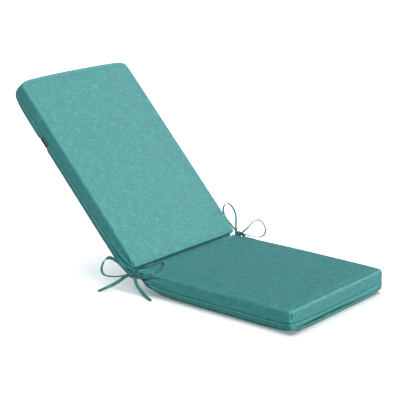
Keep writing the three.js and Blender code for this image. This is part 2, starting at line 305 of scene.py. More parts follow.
# %% Slubbed polyester
def woven_cloth(name, deep, middle, pale):
    """Plain weave: two sets of bands crossing at right angles give the height, and noise drawn out
    along each yarn direction gives the slubs. The three tones run from the ground to the slubs."""
    material, tree = new_material(name)
    coords = add(tree, "ShaderNodeTexCoord")
    flat = coords.outputs["UV"]
    heights, slubs = [], []
    for stretch, direction in [((34, 430, 1), "X"), ((460, 30, 1), "Y")]:
        yarn = add(tree, "ShaderNodeMapping", {"Scale": stretch}, {"Vector": flat})
        slub = add(tree, "ShaderNodeTexNoise", {"Scale": 1.0, "Detail": 1.5, "Roughness": 0.5},
                   {"Vector": yarn.outputs[0]})
        slubs.append(add(tree, "ShaderNodeMapRange", {"From Min": 0.42, "From Max": 0.72},
                         {"Value": slub.outputs["Fac"]}))
        heights.append(add(tree, "ShaderNodeTexWave", {"bands_direction": direction, "Scale": 100.0,
                                                       "Distortion": 1.2, "Detail": 1.0},
                           {"Vector": flat}))
    both = add(tree, "ShaderNodeMath", {"operation": "ADD"},
               {0: slubs[0].outputs[0], 1: slubs[1].outputs[0]})
    cloud = add(tree, "ShaderNodeTexNoise", {"Scale": 22.0, "Detail": 2.0}, {"Vector": flat})
    mixed = add(tree, "ShaderNodeMath", {"operation": "MULTIPLY_ADD", 1: 0.5},
                {0: cloud.outputs["Fac"], 2: both.outputs[0]})
    shade = add(tree, "ShaderNodeMath", {"operation": "MULTIPLY", 1: 0.4}, {0: mixed.outputs[0]})
    tint = add(tree, "ShaderNodeValToRGB", {}, {0: shade.outputs[0]})
    ramp = tint.color_ramp
    ramp.elements[0].position, ramp.elements[0].color = 0.15, linear(deep)
    ramp.elements[1].position, ramp.elements[1].color = 0.72, linear(pale)
    ramp.elements.new(0.4).color = linear(middle)
    # Painted highlight: a point attribute mixes the paler teal #6aa9a3 into the cloth along the pad's
    # upper edges, where the rounded ridges catch the light.
    ridge_light = add(tree, "ShaderNodeAttribute", {"attribute_name": "ridge_highlight"})
    shown = add(tree, "ShaderNodeMix", {"data_type": "RGBA", 7: linear("#6aa9a3")},
                {0: ridge_light.outputs["Fac"], 6: tint.outputs[0]})
    pattern = add(tree, "ShaderNodeMath", {"operation": "MULTIPLY"},
                  {0: heights[0].outputs["Fac"], 1: heights[1].outputs["Fac"]})
    height = add(tree, "ShaderNodeMath", {"operation": "ADD"},
                 {0: pattern.outputs[0], 1: both.outputs[0]})
    bump = add(tree, "ShaderNodeBump", {"Strength": 0.35, "Distance": 0.0006},
               {"Height": height.outputs[0]})
    cloth = add(tree, "ShaderNodeBsdfPrincipled",
                {"Roughness": 0.65, "IOR": 1.5, "Sheen Weight": 0.04, "Sheen Roughness": 0.4},
                {"Base Color": shown.outputs[2], "Normal": bump.outputs["Normal"]})
    add(tree, "ShaderNodeOutputMaterial", {}, {"Surface": cloth.outputs[0]})
    return material


# Dyed spun-look polyester: a soft, nearly matt face with short pale streaks both ways.
teal_cloth = woven_cloth("slubbed_polyester", "#2a7777", "#358081", "#52989a")
# The same cloth for the straps and knots, in darker tones: painted shade, because a folded strap lies in
# its own shade.
shaded_strap_cloth = woven_cloth("slubbed_polyester_painted_shade", "#1f5757", "#2a6969", "#3d807d")
print("cloth nodes", len(teal_cloth.node_tree.nodes))

# %% [markdown]
# ## Tie straps
# Each end of the fold has two flat tie straps, sewn into the seam and tied in a bow. A strap is a
# folded strip of the cover cloth, 11 mm wide. Each one is followed from its sewn end, round its loop
# of the bow, back through the knot and along its tail. It could be drawn as a curve with a flat
# bevel, but then its twist is hard to hold. Here the direction of its width is given at a few points
# of the route, so it lies flat or stands on edge where the real one does.

# %% Tie routes
ROUTES = {
    "tie_left_back": [
        (-292, -264, 58), (-292.5, -268.5, 58.5), (-297, -270.4, 58.5), (-306, -270.6, 58),
        (-314, -273, 58), (-324, -277, 60.5), (-338, -279, 70), (-353, -280, 81), (-374, -281, 92),
        (-397, -281, 96), (-417, -281, 88), (-430, -281, 68), (-434, -281, 46), (-426, -281, 34),
        (-400, -280, 33), (-370, -280, 39), (-342, -280, 48), (-322, -280, 53.5), (-312, -280, 55),
        (-306, -280, 55), (-300.5, -280, 54.3), (-295, -280.5, 47), (-287, -281, 32),
        (-268, -283, 15), (-246, -290, 7), (-209, -306, 2.6)],
    "tie_left_seat": [
        (-292, -264, 50), (-291.5, -269, 50), (-294, -272.5, 52), (-297.5, -274.5, 57),
        (-298, -274, 64), (-295, -270.5, 72), (-291.5, -263, 78.6), (-290, -250, 78.4),
        (-289, -225, 78.3), (-287, -200, 78.3), (-281, -182, 78.3), (-270, -175, 78.3),
        (-258, -180, 78.3), (-247, -198, 78.3), (-238, -220, 78.3), (-232, -240, 78.4),
        (-230, -254, 78.8), (-230.5, -265, 78), (-234, -271, 72), (-242, -273, 65),
        (-256, -274.5, 60), (-272, -276.5, 58.5), (-287, -279, 58.8), (-300, -280, 59),
        (-306, -280, 59), (-313, -280.6, 59.3), (-322, -283.5, 55), (-333, -286.5, 46.5),
        (-347, -292, 34), (-369, -307, 16), (-381, -326, 8), (-390, -348, 2.6)],
    "tie_right_back": [
        (-292, 264, 61), (-292.5, 268.5, 61.5), (-296, 270.8, 64), (-299, 273, 70), (-301.5, 275, 79),
        (-303.5, 276.5, 90), (-305, 277, 106), (-305, 277, 124), (-309, 277, 142), (-319, 277, 158),
        (-333, 277, 169), (-346, 277, 171), (-356, 277, 163), (-361, 277, 146), (-357, 278, 128),
        (-345, 279, 112), (-328, 280, 97), (-312, 280, 84), (-302, 280, 77), (-296, 280, 74.3),
        (-291, 280, 74), (-285.5, 280.9, 73.8), (-280, 284.5, 71), (-276, 288, 62), (-271, 291, 46),
        (-264, 295, 28), (-254, 301, 12), (-240, 309, 4), (-222, 317, 2.6)],
    "tie_right_seat": [
        (-292, 264, 54), (-291.5, 268.5, 54), (-288, 270.8, 56), (-284, 272.5, 62), (-281, 274.5, 70),
        (-276, 276, 79), (-267, 277, 88), (-255, 277, 100), (-238, 277, 121), (-221, 277, 135),
        (-203, 277, 137), (-189, 277, 127), (-181, 277, 110), (-183, 277, 94), (-196, 277, 82),
        (-215, 277.5, 76), (-236, 278.5, 74), (-256, 279.5, 73.5), (-272, 280, 72.2), (-284, 280, 70.3),
        (-291, 280, 70), (-297, 280.4, 69), (-303, 281.5, 62), (-309, 284, 48), (-316, 288, 30),
        (-326, 294, 13), (-340, 301, 4), (-358, 306, 2.6)],
}

# The width's direction at some points of each route, by the point's number.
WIDTHS = {
    "tie_left_back": {0: (0, 0, 1), 4: (0.1, 0, 1), 9: (0.1, 0.3, 1), 11: (0.1, 1, 0.2), 13: (0, 1, 0),
                      17: (0, 0.9, 0.4), 20: (0.6, 0.5, 0.4), 23: (0.7, 0.6, 0.3), 25: (0.6, 0.8, 0.1)},
    "tie_left_seat": {0: (0, 0, 1), 2: (0.5, 0, 1), 4: (1, 0.2, 0.3), 6: (0.8, 0, 0.6), 8: (0, 0, 1),
                      16: (0.1, 0, 1), 17: (-0.6, 0, 0.8), 18: (-0.4, 0, 1), 24: (0, 0, 1),
                      26: (0.65, 0.1, -0.5), 29: (0.65, 0.15, -0.6), 31: (0.8, -0.3, -0.2)},
    "tie_right_back": {0: (0, 0, 1), 2: (0.6, 0.3, 0.6), 5: (0.02, 1, -0.03), 19: (0.02, 1, -0.03),
                       23: (0.6, 0.7, 0), 28: (0.3, 0.9, 0)},
    "tie_right_seat": {0: (0, 0, 1), 2: (0.6, 0.3, 0.4), 5: (-1, 1, 0.6), 21: (0.8, 1, -1),
                       23: (0.6, 0.7, 0), 27: (0.3, 0.9, 0)},
}


def smooth_route(points, step):
    """The centripetal Catmull-Rom curve through the points: on each span a cubic whose end slopes come
    from the neighbours, weighted by the root of the distances. It is then sampled at equal steps.
    Returns the samples, and how far along the samples and the given points are."""
    p = np.array(points, float)
    p = np.concatenate([[2 * p[0] - p[1]], p, [2 * p[-1] - p[-2]]])
    gap = np.sqrt(np.linalg.norm(np.diff(p, axis=0), axis=1))[:, None]
    a, b, c, d = p[:-3], p[1:-2], p[2:-1], p[3:]
    before, here, after = gap[:-2], gap[1:-1], gap[2:]
    leave = ((b - a) / before - (c - a) / (before + here) + (c - b) / here) * here
    arrive = ((c - b) / here - (d - b) / (here + after) + (d - c) / after) * here
    t = np.linspace(0, 1, 24, endpoint=False)[:, None, None]
    spans = (b + leave * t + (-3 * b + 3 * c - 2 * leave - arrive) * t ** 2
             + (2 * b - 2 * c + leave + arrive) * t ** 3)
    line = np.concatenate([spans.transpose(1, 0, 2).reshape(-1, 3), p[-2:-1]])
    mark = way_along(line)
    at = np.linspace(0, mark[-1], int(mark[-1] / step) + 1)
    return read_at(at, mark, line), at, mark[::24]


for name, route in ROUTES.items():
    print(name, "length", round(smooth_route(route, 3)[1][-1], 1), "mm")

# %% Tie straps
TIE_WIDE = 11.0
TIE_THICK = 1.1


def oval(angle, power):
    """How far sideways a flattened oval is at an angle: sgn(cos) |cos|^power."""
    return np.sign(np.cos(angle)) * np.abs(np.cos(angle)) ** power


def flat_band(route, widths, pinch, step=2.5, sides=14):
    """A flat band along a route. With t the direction of travel, w the width's direction made square to
    t, and n = t x w, a point is path + w a sgn(cos)|cos|^0.6 + n b sin, so the profile is a flattened
    oval. Near the knot the width falls to 0.55 of itself, because the strap is gathered there."""
    path, at, knots = smooth_route(route, step)
    travel = unit(np.gradient(path, axis=0))
    keys = np.array(list(widths))
    hints = np.array([widths[k] for k in keys], float)
    wide = read_at(at, knots[keys], hints)
    wide = unit(wide - (wide * travel).sum(1, keepdims=True) * travel)
    normal = np.cross(travel, wide)
    gathered = 1 - 0.45 * np.exp(-((at - knots[pinch]) / 9) ** 2)
    around = np.linspace(0, 2 * np.pi, sides + 1)
    across = oval(around[:-1], 0.6)
    half = (TIE_WIDE / 2 * gathered)[:, None, None]
    thick = TIE_THICK / 2 * (1 + 0.5 * (1 - gathered))[:, None, None]
    rings = (path[:, None] + wide[:, None] * half * across[:, None]
             + normal[:, None] * thick * np.sin(around[:-1])[:, None])
    return rings, at * MM, around * TIE_WIDE / np.pi * MM


# The number of the point where each strap is gathered by its knot.
GATHERED = dict(zip(ROUTES, (19, 24, 20, 20)))
ties, lengths = {}, {}
for name, route in ROUTES.items():
    rings, at, around = flat_band(route, WIDTHS[name], GATHERED[name])
    ties[name] = tube(name + "_strap", rings * MM, at, around, shaded_strap_cloth, "seat")
    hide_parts(name)
    lengths[name] = float(at[-1] / MM)
    print(ties[name].name, round(lengths[name], 1), "mm long,", len(ties[name].data.polygons), "faces")

# %% [markdown]
# ## Bow knots
# A bow's middle is one turn of strap pulled tight round the loops. It is a soft band bent into a
# ring, so it is drawn as a flattened oval carried round a slightly uneven circle. A torus would be
# too regular: a real turn of strap is wider on one side and has a fold in it.

# %% Bow knots
def knot_turn(name, centre, tilt, node):
    """A band carried round the x axis. At angle a the ring's radius is 7 + 0.8 sin(2a + tilt) mm and it
    leans along x by 2.2 cos(a + tilt) mm. The band is 10 to 13 mm wide and 2.8 mm thick."""
    a = np.linspace(0, 2 * np.pi, 41)[:-1]
    b = np.linspace(0, 2 * np.pi, 15)
    out = np.stack([np.zeros_like(a), np.cos(a), np.sin(a)], axis=1)
    along = np.array([1.0, 0, 0])
    radius = (7.0 + 0.8 * np.sin(2 * a + tilt))[:, None]
    lean = (2.2 * np.cos(a + tilt))[:, None]
    wide = (5.8 + 0.8 * np.sin(a + tilt))[:, None, None]
    fold = 0.5 * np.cos(3 * b[:-1] + tilt)
    spine = np.array(centre) + out * radius + along * lean
    across = oval(b[:-1], 0.7)
    rings = (spine[:, None] + along * wide * across[:, None]
             + out[:, None] * (1.4 * np.sin(b[:-1]) + fold)[:, None])
    rows, count = rings.shape[:2]
    row, column = grid_corners(rows + 1, count + 1)
    faces = ((row % rows) * count + column % count)[:, ::-1].tolist()
    cloth = np.stack([row * 1.0 * MM, column * 1.5 * MM], axis=-1)[:, ::-1].reshape(-1, 2)
    turn = make_piece(name, rings * MM, faces, cloth, shaded_strap_cloth, "seat")
    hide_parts(node)
    return turn


left_turn = knot_turn("bow_turn_left", (-306, -280, 57), 0.4, "bow_knot_left")
right_turn = knot_turn("bow_turn_right", (-291, 280, 72), 1.9, "bow_knot_right")

for name, obj in ties.items():
    route = np.array(ROUTES[name]) * MM
    smooth = smooth_route(ROUTES[name], 3)[0]

# %% [markdown]
# ## The pad's skin
# A section is a soft box. It could start as a cube with a subdivision modifier, but the weave would
# then have no flat coordinates and the seams no exact place. So the skin is a lattice of lines, close
# together near edges and seams. Each point on the box's surface becomes a vertex, and its cloth
# coordinates are those of the panel laid flat, with its sides folded out.

# %% Lattice of a section
def lines(*stops):
    """Grid lines: from each stop to the next in steps of about the size given with the first."""
    parts = [np.linspace(a, b, max(1, round((b - a) / step)), endpoint=False)
             for (a, step), (b, _) in zip(stops[:-1], stops[1:])]
    return np.concatenate(parts + [[stops[-1][0]]])


def lattice(section, inset=0.0, fine=1.0):
    """The three sets of lines of a section whose faces are moved in by inset."""
    length = LENGTH[section]
    x = lines((START + inset, 3 * fine), (60, 6.5 * fine), (length - 36, 3 * fine), (length - inset, 1))
    y = lines((-HALF + inset, 3.2 * fine), (-SLIT_HALF, 6.5 * fine), (SLIT_HALF, 3.2 * fine),
              (HALF - inset, 1))
    z = lines((inset, 2.5 * fine), (SLIT[0] + inset, 3.5 * fine), (SLIT[1] + inset, 2.7 * fine),
              (SEAM, 2.6 * fine), (44, 5.3 * fine), (60, 3.2 * fine), (THICK - inset, 1))
    return x, y, z


def boxed_skin(axes, radius):
    """All lattice points on the box's surface. A point p goes to c + r (p - c) / |p - c|, where c is
    the nearest point of the box shrunk by the radius r, which rounds every edge and corner. The
    radius falls to 0.45 of itself at the zip and 0.6 along the upper edges, and grows again by the far
    corners. Returns the flat points, the rounded ones, the outward directions, the faces and their
    cloth places."""
    box = np.stack(np.meshgrid(*axes, indexing="ij"), axis=-1)
    on_skin = np.ones(box.shape[:3], bool)
    on_skin[1:-1, 1:-1, 1:-1] = False
    number = np.full(on_skin.shape, -1)
    number[on_skin] = np.arange(on_skin.sum())
    flat = box[on_skin]
    low, high = box[0, 0, 0], box[-1, -1, -1]
    zip_edge = ease(flat[:, :1], high[0] - 42, high[0] - 16) * ease(-flat[:, 2:], -40, -26)
    upper = ease(flat[:, 2:], 50, 68)
    corner = np.exp(-(high[1] - np.abs(flat[:, 1:2]) + high[0] - flat[:, :1]) / 22)
    radius = radius * (1 - 0.55 * zip_edge - upper * (0.4 - 0.75 * corner))
    centre = np.clip(flat, low + radius, high - radius)
    outward = unit(flat - centre)
    faces, cloth = [], []
    for axis in range(3):
        u, v = [k for k in range(3) if k != axis]
        for side in (0, -1):
            sheet = np.take(number, side, axis)
            ring = np.stack([sheet[:-1, :-1], sheet[1:, :-1], sheet[1:, 1:], sheet[:-1, 1:]], axis=-1)
            ring = ring.reshape(-1, 4)
            if (side == 0) != (axis == 1):
                ring = ring[:, ::-1]
            spot = flat[ring]
            upper = spot[..., 2].mean(1, keepdims=True) > SEAM
            drop = np.where(upper, high[2] - spot[..., 2], spot[..., 2] - low[2]) * (axis != 2)
            away = [-1, 1][side == -1]
            laid = np.stack([spot[..., 0] + drop * away * (axis == 0) + np.where(upper, 0, 2000),
                             spot[..., 1] + drop * away * (axis == 1)], axis=-1)
            faces.append(ring)
            cloth.append(laid * MM)
    return flat, centre + outward * radius, outward, np.concatenate(faces), np.concatenate(cloth)


for section in LENGTH:
    print(section, "skin points", len(boxed_skin(lattice(section), ROUND)[0]))

# %% [markdown]
# ## How the pads lie
# Foam in a sewn cover isn't a perfect box. Beside the fold the cover is sewn down to one seam, so the
# lower edge sweeps up to it, and the back's face stops a little short of the fold. The lower corners
# at the far end are lifted, and the elastic strap draws a shallow dent in the back. These shapes are
# large and smooth, so they are formulas of the place in the box, which the stuffing follows too.

# %% Large shapes
STRAP = {"centre": 534.0, "wide": 36.0, "deep": 3.6}


def settle(p, section):
    """Moves points of the box to where the soft pad has them. Each term is a distance in millimetres
    that falls off as exp(-distance / reach) from the fold, the far corners or the strap."""
    x, y, z = p.T
    side = ease(np.abs(y), 130, 264)
    low = 1 - z / THICK
    high = z / THICK
    far = LENGTH[section] - x
    corner = np.exp(-(HALF - np.abs(y)) / 46)
    if section == "seat":
        swept = 44 * np.exp(-x / 40) * (0.7 + 0.3 * side)
        sunk = 8 * np.exp(-x / 150) * side + np.exp(-x / 13)
        lifted = 16 * np.exp(-far / 24) * corner * np.where(y < 0, 1.0, 0.4) + 1.5 * side
        dent = short = np.zeros_like(x)
        wider = 3 * ease(y, 0, HALF)
    else:
        swept = 24 * np.exp(-x / 42) * (0.6 + 0.4 * side) + 3 * side
        sunk = 3 * np.exp(-x / 70) * side + np.exp(-x / 12)
        lifted = 26 * np.exp(-far / 30) * corner
        edge = np.exp(-(HALF - np.abs(y)) / 15)
        short = (6 * high * (y / HALF) ** 2 + 3 * low + (13 + 7 * low) * edge) * np.exp(-far / 40)
        wider = -3 * ease(-y, 0, HALF)
        near = np.abs(x - STRAP["centre"])
        dent = STRAP["deep"] * ease(-z, -44, -14)
        dent = dent * ease(-near, -STRAP["wide"] / 2 - 12, -STRAP["wide"] / 2)
    rise = (swept + lifted) * low - sunk * high + dent * ease(-z, -12, -2)
    squeeze = 3 * np.exp(-x / 30) + 0.6 * dent + 4.5 * ease(-z, -SEAM, 6)
    tight = np.exp(-x / 10) * ease(z, 52, 72) * (section == "seat")
    under = 9 * np.exp(-x / 12) * ease(z, 36, 52) * (section == "back")
    inward = np.sign(y) * squeeze * ease(np.abs(y), 150, 262)
    return np.stack([x - short - 2.6 * tight + under, y + wider - inward, z + rise + 1.8 * tight], axis=1)


for section in LENGTH:
    ends = np.array([[START, HALF, 0], [START, HALF, THICK], [60, HALF, 0], [LENGTH[section], HALF, 0]])
    print(section, "heights", settle(ends, section)[:, 2].round(1))

# %% [markdown]
# ## Stuffing the pads
# Fabric over foam is round between its seams and creased beside them. A cloth simulation gives this
# by itself: the skin starts a little small, is held at its seams, and air pressure blows it out. The
# foam keeps the real cover flat, so no point may move more than a few millimetres.

# %% Cloth simulation
def stuff(points, faces, outward, held, cap):
    """Blows the skin up as cloth for 20 frames. The foam stops it from moving inwards, so that part of
    each point's way is taken out, and what is left, d, is limited to cap tanh(|d| / cap). Points and
    cap are in millimetres."""
    mesh = bpy.data.meshes.new("trial")
    mesh.from_pydata((points * MM).tolist(), [], faces.tolist())
    trial = bpy.data.objects.new("trial", mesh)
    scene.collection.objects.link(trial)
    group = trial.vertex_groups.new(name="sewn")
    group.add(np.flatnonzero(held).tolist(), 1.0, "REPLACE")
    settings = trial.modifiers.new("cloth", "CLOTH").settings
    for key, value in {"quality": 4, "mass": 0.25, "tension_stiffness": 12, "bending_stiffness": 0.4,
                       "compression_stiffness": 12, "shrink_min": -0.012, "use_pressure": True,
                       "uniform_pressure_force": 4, "vertex_group_mass": "sewn"}.items():
        setattr(settings, key, value)
    settings.effector_weights.gravity = 0
    for step in range(1, 21):
        scene.frame_set(step)
    blown = np.empty(len(points) * 3, np.float32)
    shown = trial.evaluated_get(bpy.context.evaluated_depsgraph_get())
    shown.data.vertices.foreach_get("co", blown)
    bpy.data.objects.remove(trial)
    scene.frame_set(1)
    way = blown.reshape(-1, 3) / MM - points
    way -= outward * np.minimum((way * outward).sum(1, keepdims=True), 0)
    far = np.maximum(np.linalg.norm(way, axis=1, keepdims=True), 1e-6)
    return points + way * cap * np.tanh(far / cap) / far


print("cloth simulation is", "on")

# %% [markdown]
# ## Seams, darts, puckers and gathers
# The small relief comes after the simulation, because it is finer than the cloth can work out. Each
# mark is a height along the outward direction: a groove at the side seam, a dart down each upright
# corner, one dart that gapes, short puckers where the thread pulls, and gathers that fan out from the
# ends of the fold.

# %% Small relief
def relief(flat, section):
    """Sum of the small marks at each lattice point, in millimetres outwards."""
    x, y, z = flat.T
    across = np.abs(y)
    far = LENGTH[section] - x
    on_end = far < 0.1
    upright = ((across > HALF - 0.1) | on_end | (x < START + 0.1)) * 1.0
    along = np.where(on_end, y, x + 3 * y)
    off_seam = np.abs(z - SEAM)
    groove = -2.3 * np.exp(-(off_seam / 2.4) ** 2) * upright
    puckers = 0.5 * waver(along, 13, 1.0) * np.exp(-off_seam / 11) * ease(off_seam, 0, 4) * upright
    dart_at = np.hypot(far, HALF - across)
    dart = -1.8 * np.exp(-(dart_at / 3) ** 2) * ease(z, 8, 20) * ease(-z, -70, -58)
    low_left = (y < 0) if section == "seat" else (y > 0)
    opened = -9 * np.exp(-(dart_at / 4) ** 2 - ((z - 53) / 10) ** 2) * low_left
    root = np.hypot(x, np.maximum(HALF - across, 0) + np.abs(z - 52) * upright)
    bearing = np.where(upright > 0, np.arctan2(z - 50, x), np.arctan2(HALF - across, x))
    fan = (4.6 + 5 * upright) * waver(bearing * 60, 29, 2.0 + (section == "back"))
    fan = fan * np.exp(-root / 80) * ease(root, 0, 22)
    fan = fan * (1 - ease(x, 95, 175)) * (1.0 if section == "seat" else 0.4)
    pulled = 0.5 * waver(y, 10.5, 0.7) * ease(z, 30, 44) * ease(-z, -76, -60) * on_end
    pulled = pulled * (0.45 + 0.55 * np.exp(-((y - 20) / 110) ** 2))
    level = np.exp(-((across / HALF) ** 6)) * (1 - upright)
    rolling = 1.2 * waver(x + 0.4 * y, 165, 0.3) * level + 0.8 * waver(y - 0.2 * x, 120, 1.9) * level
    rim_at = np.hypot(np.minimum(far, HALF - across), THICK - z)
    ridge = 0.8 * np.exp(-(rim_at / 6) ** 2) * ease(x, 20, 60)
    return groove + puckers + dart + opened + fan + pulled + rolling + ridge


def end_lips(flat, p, outward, section):
    """The zip's slit in the far end. The flap hangs from the seam almost to the lower lip, and gapes by
    1.5 to 7.7 mm, widest on the side where the slider is parked. Both lips swell as half a sine, the
    flap by 1.7 to 3.1 mm and the lower lip by 1.2 mm."""
    x, y, z = flat.T
    on_end = (LENGTH[section] - x < 0.1) & (np.abs(y) <= SLIT_HALF + 0.1)
    gape = 1.5 + 6.2 * ease(y, -SLIT_HALF, -170) * (1 - ease(y, -20, 150))
    on_flap = on_end & (z > SLIT[0] + 0.1) & (z < SEAM)
    share = np.clip((SEAM - z) / (SEAM - SLIT[1]), 0, 1)
    p = p.copy()
    p[:, 2] += np.where(on_flap & (z >= SLIT[1] - 0.1), (SLIT[0] + gape - SLIT[1]) * share, 0)
    down = np.clip((z - SLIT[1] + 1) / (SEAM - SLIT[1] + 1), 0, 1)
    swell = (1.7 + 1.4 * ease(y, 40, 140)) * np.sin(np.pi * down)
    hatch = 0.3 * waver(y + 1.3 * z, 7.5, 2.2)
    lip = 1.2 * ease(z, 0, 5) * ease(-z, -SLIT[0] - 1, -4)
    out = np.where(on_flap, swell + hatch, 0) + np.where(on_end & (z < SLIT[0] + 0.1), lip, 0)
    return p + outward * out[:, None]


def ridge_highlight(flat, section):
    """How much painted highlight pales the cloth along the upper edges, where the rounded ridges catch
    the light. It is 0.3 on the far end's edge and 0.09 on the sides, and falls to 0 within some 12 mm."""
    far = LENGTH[section] - flat[:, 0]
    top = THICK - flat[:, 2]
    end = np.exp(-((far + top) / 6.5) ** 2)
    sides = np.exp(-((HALF - np.abs(flat[:, 1]) + top) / 6.5) ** 2)
    return np.maximum(end, 0.3 * sides) * 0.3


print("relief ready")

# %% [markdown]
# ## Covers
# Each section's cover is cut from two boxed panels that meet at the side seam. The finished skin is
# split there, and the strip over the zip becomes a piece of its own. A Solidify modifier gives each
# panel the thickness of the cloth.

# %% Make a section's cover
CAP = 2.8  # how far the stuffing may push the cloth out
SLACK = 1.2  # how much smaller the skin is before it is blown out
CLOTH = 1.1  # the cloth's own thickness
GROUND = 0.3  # the lowest that the seat's cover may hang
HALVES = {"seat": ("top", "bottom"), "back": ("front", "rear")}


def make_cover(section):
    """Lattice, rounding, settling, stuffing and relief, then one piece for each panel."""
    flat, rounded, outward, faces, cloth = boxed_skin(lattice(section), ROUND)
    skin = settle(rounded - outward * SLACK, section)
    held = (np.abs(flat[:, 2] - SEAM) < 0.1) | (flat[:, 0] < START + 0.1)
    held |= np.hypot(LENGTH[section] - flat[:, 0], HALF - np.abs(flat[:, 1])) < 0.1
    skin = stuff(skin, faces, outward, held, CAP)
    skin = end_lips(flat, skin + outward * relief(flat, section)[:, None], outward, section)
    if section == "seat":
        skin[:, 2] = np.maximum(skin[:, 2], GROUND)
    middle = flat[faces].mean(axis=1)
    on_end = (LENGTH[section] - middle[:, 0] < 0.1) & (np.abs(middle[:, 1]) < SLIT_HALF)
    slit = on_end & (middle[:, 2] > SLIT[0]) & (middle[:, 2] < SLIT[1])
    lip = on_end & (middle[:, 2] > SLIT[1]) & (middle[:, 2] < SEAM)
    upper = middle[:, 2] > SEAM
    parts = (upper, ~upper & ~slit & ~lip, lip)
    names = [(f"{section}_{half}_panel", f"{section}_cover_{half}") for half in HALVES[section]]
    names.append((f"{section}_zip_lip", f"{section}_zip_flap"))
    for (name, node), part in zip(names, parts):
        used, corners = np.unique(faces[part], return_inverse=True)
        obj = make_piece(name, place(skin[used], section), corners.reshape(-1, 4).tolist(),
                         cloth[part], teal_cloth, section)
        # Each point's share of the painted highlight along the upper edges, read by the cloth material.
        ridge_light = obj.data.attributes.new("ridge_highlight", "FLOAT", "POINT")
        ridge_light.data.foreach_set("value", ridge_highlight(flat[used], section).astype(np.float32))
        thicken(obj, CLOTH)
        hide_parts(node)
        print(name, len(obj.data.polygons), "faces")
    return skin, flat, outward


skins = {section: make_cover(section) for section in LENGTH}

# %% [markdown]
# ## Topstitching
# The strip over each zip is topstitched near its seam. A stitch is a short piece of thread with both
# ends pulled into the cloth. A row has over a hundred, so one small stitch is worked out and then
# copied to every place along the row.

# %% Topstitching
# Twisted polyester thread: a slight shine, and a fine slanting line where its plies meet.
thread = two_tone("polyester_thread", "ShaderNodeTexWave",
                  {"bands_direction": "DIAGONAL", "Scale": 260.0}, "Fac", "UV",
                  ("#2f7373", "#5fa8a4"), {"Roughness": 0.45, "IOR": 1.5})


def stitch_row(name, section, path, outward, pitch=3.4, radius=0.42):
    """Copies of one stitch at equal steps of a path. With t along it, s sideways and n outwards, point
    (i, j) lies at along_i t + r_i (cos b_j s + sin b_j n) - dip_i n, thin and deep at the ends."""
    mark = way_along(path)
    at = np.arange(pitch, mark[-1] - pitch, pitch)
    centre, normal = read_at(at, mark, path), read_at(at, mark, outward)
    travel = unit(np.gradient(centre, axis=0))
    sideways = np.cross(travel, normal)
    along = np.array([-0.4, -0.3, 0.0, 0.3, 0.4]) * pitch
    fat = np.array([0.35, 0.85, 1, 0.85, 0.35]) * radius
    dip = np.array([0.9, 0.25, 0, 0.25, 0.9]) * radius
    b = np.linspace(0, 2 * np.pi, 7)[:-1]
    shape = (centre[:, None, None] + travel[:, None, None] * along[:, None, None]
             + sideways[:, None, None] * (fat[:, None] * np.cos(b))[..., None]
             + normal[:, None, None] * (fat[:, None] * np.sin(b) - dip[:, None])[..., None])
    count = len(at)
    row, column = (corner[:, ::-1] for corner in grid_corners(5, 7))
    first = np.arange(count)[:, None, None] * 30
    faces = (row * 6 + column % 6 + first).reshape(-1, 4)
    caps = (np.array([range(5, -1, -1), range(24, 30)]) + first).reshape(-1, 6)
    flat = np.stack([along[row], column * radius], axis=-1) * MM
    cloth = np.tile(flat.reshape(1, -1, 2), (count, 1, 1)).reshape(-1, 2)
    cloth = np.concatenate([cloth, np.zeros((caps.size, 2))])
    return make_piece(name, place(shape.reshape(-1, 3), section), faces.tolist() + caps.tolist(), cloth,
                      thread, section)


STITCH_DROP = 2.7  # how far the row is below the seam
for section, (skin, flat, outward) in skins.items():
    level = np.unique(flat[:, 2])
    level = level[np.abs(level - (SEAM - STITCH_DROP)).argmin()]
    row = (LENGTH[section] - flat[:, 0] < 0.1) & (np.abs(flat[:, 2] - level) < 0.1)
    row &= np.abs(flat[:, 1]) < SLIT_HALF - 4
    row = np.flatnonzero(row)[np.argsort(flat[row, 1])]
    stitches = stitch_row(section + "_lip_topstitch", section, skin[row] + outward[row] * 0.25,
                          outward[row])
    print(stitches.name, len(stitches.data.polygons), "faces")

# %% [markdown]
# ## The web in the fold
# The two covers are joined by a stitched strip, which on the real pad bends as the back moves; here it
# has one fixed shape for this recline. Seen from the end it is an arch that goes from the seat's end over
# the fold line and down to the back's end, each of its points a mix of the two.

# %% Fold web
def fold_strip():
    """A strip across the fold, as a closed form. Its section has an upper and a lower arch, each a
    quadratic curve from the seat's end over the fold line to the back's end. Small ripples show the
    gathering of the cloth."""
    y = np.linspace(-262, 262, 141)
    t = np.linspace(0, 1, 13)[:, None]
    arches = []
    for seat_z, crown_z, back_z, shift in ((62.0, 70.5, 60.0, 2), (42.0, 54.0, 36.0, 0)):
        seat_end = np.array([START + FOLD_X + 1.2, 0, seat_z])
        back_end = place(np.array([START + 1.2, 0, back_z]), "back") / MM
        crown = np.array([(seat_end[0] + back_end[0]) / 2 + shift, 0, crown_z])
        control = 2 * crown - (seat_end + back_end) / 2
        arches.append((1 - t) ** 2 * seat_end + 2 * t * (1 - t) * control + t ** 2 * back_end)
    loop = np.concatenate([arches[0], arches[1][::-1]])
    ripple = 0.7 * waver(y, 15, 0.9)[:, None] * np.sin(np.linspace(0, 2 * np.pi, len(loop)))
    rings = np.repeat(loop[None], len(y), axis=0)
    rings[..., 1] = y[:, None]
    rings[..., 2] += ripple
    around = np.arange(len(loop) + 1) * 3 * MM
    return tube("fold_strip", rings * MM, y * MM, around, teal_cloth, None)


web = fold_strip()
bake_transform(web)
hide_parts("fold_web")
print("fold strip", [round(v, 3) for v in web.dimensions])
